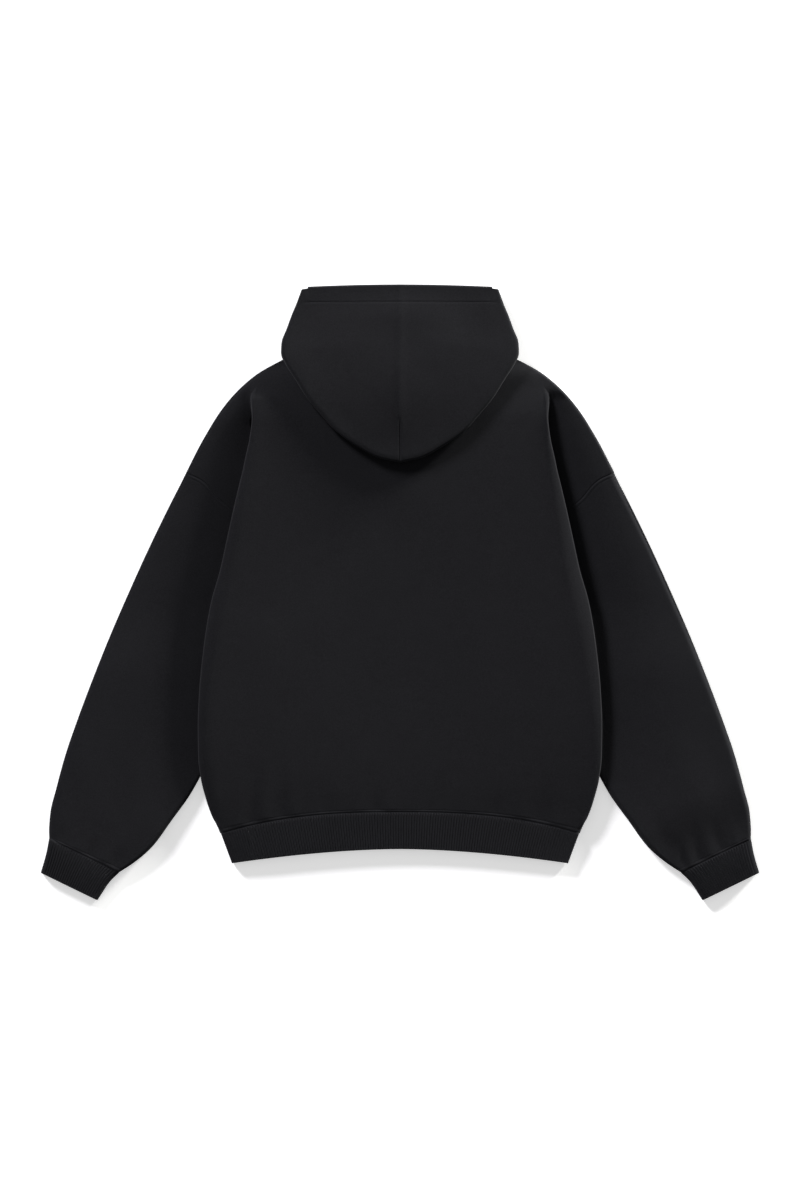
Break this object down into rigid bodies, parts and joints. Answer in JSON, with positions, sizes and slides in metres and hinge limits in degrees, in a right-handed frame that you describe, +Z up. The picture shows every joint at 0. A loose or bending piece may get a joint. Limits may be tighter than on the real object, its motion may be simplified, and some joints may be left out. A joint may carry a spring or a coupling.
{
  "type": "pullover hoodie",
  "caption": "Oversized pullover hoodie in heavy fleece, laid flat with its back up, sleeves tucked beside the body and hood down on the back, with ribbed cuffs and hem.",
  "frame": {"origin": "centre of the laid garment's footprint, on the surface that it lies on", "axes": "+X towards the wearer's right sleeve, +Y from the hem towards the hood, +Z up off the surface, out of the garment's back"},
  "size_m": [1.0048, 0.8604, 0.0202],
  "materials": {
    "fleece": "matte brushed",
    "rib": "matte ribbed"
  },
  "bodies": {
    "root": {"back_panel": "fleece", "front_panel": "fleece", "sleeve_left": "fleece", "sleeve_right": "fleece", "hood": "fleece", "cuff_left": "rib", "cuff_right": "rib", "hem_band": "rib"}
  },
  "joints": []
}
